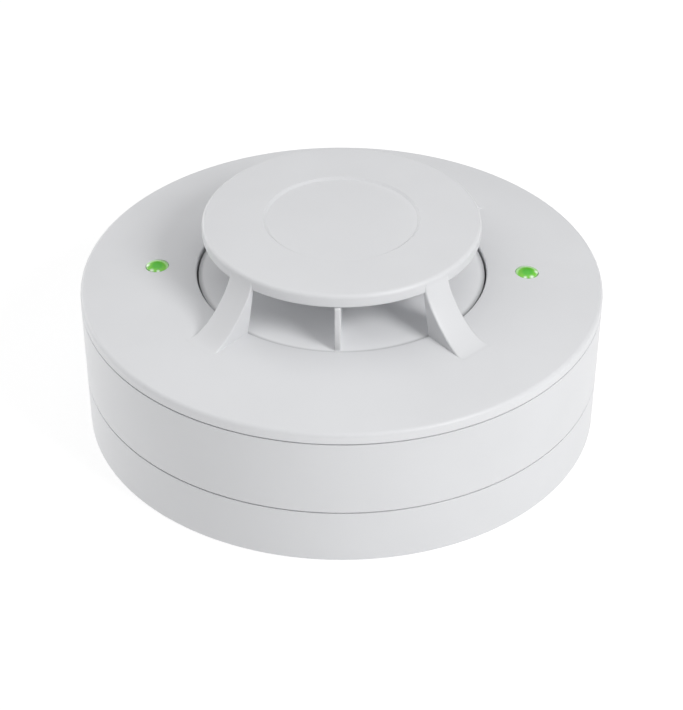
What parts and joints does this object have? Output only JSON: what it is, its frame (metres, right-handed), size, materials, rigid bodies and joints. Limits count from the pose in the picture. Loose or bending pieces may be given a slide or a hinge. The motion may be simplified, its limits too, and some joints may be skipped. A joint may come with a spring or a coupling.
{
  "type": "heat detector",
  "caption": "Round ceiling heat detector: a twist-lock head with a raised air cap on struts, a vented sensor chamber and indicator lenses, on a terminal base.",
  "frame": {"origin": "centre of the base's flat back", "axes": "+Z from the base to the air cap, X along the two indicator lenses, -Y through the front air vane"},
  "size_m": [0.1, 0.1, 0.0431],
  "materials": {
    "base_plastic": "satin moulded, near white",
    "housing_plastic": "satin moulded, near white",
    "cover_plastic": "satin moulded, near white",
    "dish_plastic": "satin moulded, near white",
    "contact_metal": "tin-plated brass, satin",
    "clamp_steel": "zinc-plated, satin",
    "screw_steel": "zinc-plated, bright",
    "seal_rubber": "matt",
    "bush_plastic": "natural nylon",
    "lead_wire": "tinned wire",
    "bead_epoxy": "glossy epoxy",
    "lens_green": "clear green lens",
    "led_body": "ceramic white with phosphor",
    "board": "solder mask, semi-gloss",
    "chip_body": "moulded epoxy",
    "capacitor_can": "drawn aluminium",
    "ceramic": "sintered ceramic",
    "resistor_body": "glazed",
    "crystal_can": "nickel-plated lid"
  },
  "bodies": {
    "base": {"mounting_base": "base_plastic", "base_contact_1": "contact_metal", "base_contact_2": "contact_metal", "base_contact_3": "contact_metal", "base_contact_4": "contact_metal"},
    "head": {"head_housing": "housing_plastic", "head_contact_1": "contact_metal", "head_contact_2": "contact_metal", "head_contact_3": "contact_metal", "head_contact_4": "contact_metal", "seal_ring": "seal_rubber", "outer_cover": "cover_plastic", "cover_screws": "screw_steel", "sensor_dish": "dish_plastic", "thermistor_holder": "bush_plastic", "thermistor_leads": "lead_wire", "thermistor_bead": "bead_epoxy", "indicator_lens_left": "lens_green", "indicator_lens_right": "lens_green", "status_led_left": "led_body", "status_led_right": "led_body", "circuit_board": "board", "controller_chip": "chip_body", "driver_chip": "chip_body", "electrolytic_capacitors": "capacitor_can", "ceramic_capacitors": "ceramic", "resistors": "resistor_body", "diodes": "chip_body", "clock_crystal": "crystal_can"},
    "clamp_1": {"wire_clamp_1": "clamp_steel"},
    "screw_1": {"terminal_screw_1": "screw_steel"},
    "clamp_2": {"wire_clamp_2": "clamp_steel"},
    "screw_2": {"terminal_screw_2": "screw_steel"},
    "clamp_3": {"wire_clamp_3": "clamp_steel"},
    "screw_3": {"terminal_screw_3": "screw_steel"},
    "clamp_4": {"wire_clamp_4": "clamp_steel"},
    "screw_4": {"terminal_screw_4": "screw_steel"}
  },
  "joints": [
    {"name": "head_twist", "type": "hinge", "parent": "base", "child": "head", "pos_m": [0, 0, 0.0113], "axis": [0, 0, 1], "range_deg": [0, 20]},
    {"name": "clamp_1_lift", "type": "slide", "parent": "base", "child": "clamp_1", "axis": [0, 0, 1], "range_m": [0, 0.0015]},
    {"name": "screw_1_turn", "type": "hinge", "parent": "clamp_1", "child": "screw_1", "pos_m": [0.01697, 0.01697, 0.0055], "axis": [0, 0, 1], "range_deg": [0, 900]},
    {"name": "clamp_2_lift", "type": "slide", "parent": "base", "child": "clamp_2", "axis": [0, 0, 1], "range_m": [0, 0.0015]},
    {"name": "screw_2_turn", "type": "hinge", "parent": "clamp_2", "child": "screw_2", "pos_m": [-0.01697, 0.01697, 0.0055], "axis": [0, 0, 1], "range_deg": [0, 900]},
    {"name": "clamp_3_lift", "type": "slide", "parent": "base", "child": "clamp_3", "axis": [0, 0, 1], "range_m": [0, 0.0015]},
    {"name": "screw_3_turn", "type": "hinge", "parent": "clamp_3", "child": "screw_3", "pos_m": [-0.01697, -0.01697, 0.0055], "axis": [0, 0, 1], "range_deg": [0, 900]},
    {"name": "clamp_4_lift", "type": "slide", "parent": "base", "child": "clamp_4", "axis": [0, 0, 1], "range_m": [0, 0.0015]},
    {"name": "screw_4_turn", "type": "hinge", "parent": "clamp_4", "child": "screw_4", "pos_m": [0.01697, -0.01697, 0.0055], "axis": [0, 0, 1], "range_deg": [0, 900]}
  ],
  "couplings": [
    {"joint": "screw_1_turn", "follows": "clamp_1_lift", "rad_per_m": 10472},
    {"joint": "screw_2_turn", "follows": "clamp_2_lift", "rad_per_m": 10472},
    {"joint": "screw_3_turn", "follows": "clamp_3_lift", "rad_per_m": 10472},
    {"joint": "screw_4_turn", "follows": "clamp_4_lift", "rad_per_m": 10472}
  ]
}
